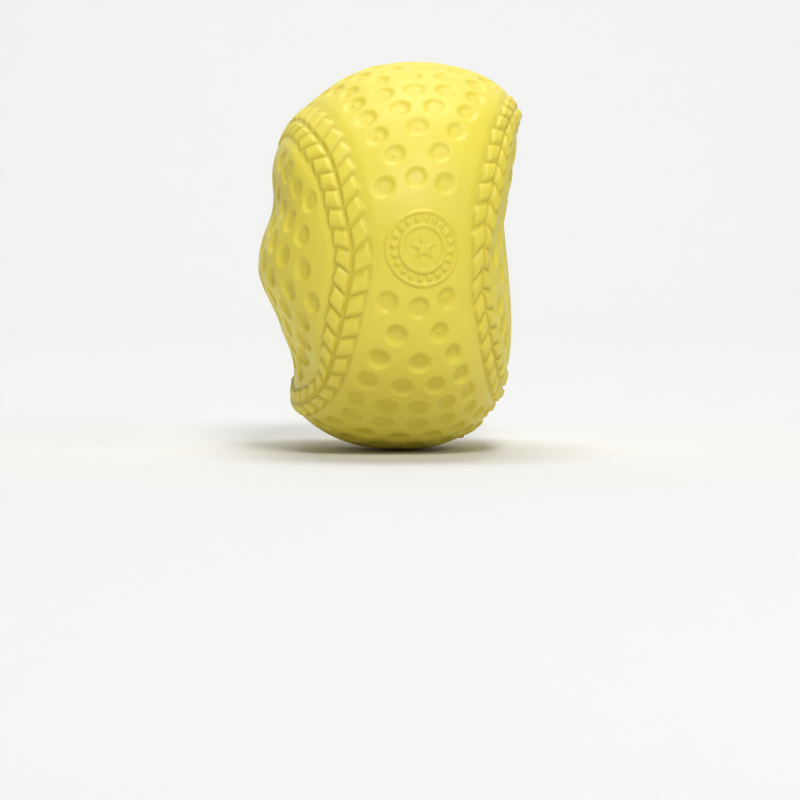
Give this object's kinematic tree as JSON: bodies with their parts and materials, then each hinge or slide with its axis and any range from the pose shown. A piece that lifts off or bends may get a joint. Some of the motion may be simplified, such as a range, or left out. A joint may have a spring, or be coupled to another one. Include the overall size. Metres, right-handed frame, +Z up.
{
  "type": "stress ball",
  "caption": "Round foam squeeze ball with a baseball seam, raised stitches, dimples and a round emblem, stored squeezed in a grip and springing back to full round.",
  "frame": {"origin": "middle of the box round the squeezed ball: midway between the two grip pads and at the centre of the round outline seen along X", "axes": "+X from the finger pad to the thumb pad, along the squeeze; -Y is the side with the emblem; +Z is up in the hand"},
  "size_m": [0.0495, 0.0755, 0.075],
  "materials": {
    "skin": "matt self-skinned polyurethane foam, bright yellow",
    "relief": "matt, moulded in one with the skin",
    "foam": "fine open-cell foam, paler yellow"
  },
  "bodies": {
    "finger_side": {"cover_finger_side": "skin", "foam_core": "foam", "front_panel_stitches_finger_side": "relief", "back_panel_stitches_finger_side": "relief"},
    "thumb_side": {"cover_thumb_side": "skin", "front_panel_stitches_thumb_side": "relief", "back_panel_stitches_thumb_side": "relief", "emblem_rim": "relief", "emblem_rays": "relief", "emblem_ring": "relief", "emblem_star": "relief", "mould_flash": "relief"}
  },
  "joints": [
    {"name": "thumb_squeeze", "type": "slide", "parent": "finger_side", "child": "thumb_side", "axis": [1, 0, 0], "range_m": [0, 0.0264], "stiffness_N_per_m": 1500, "springref_m": 0.0264}
  ]
}
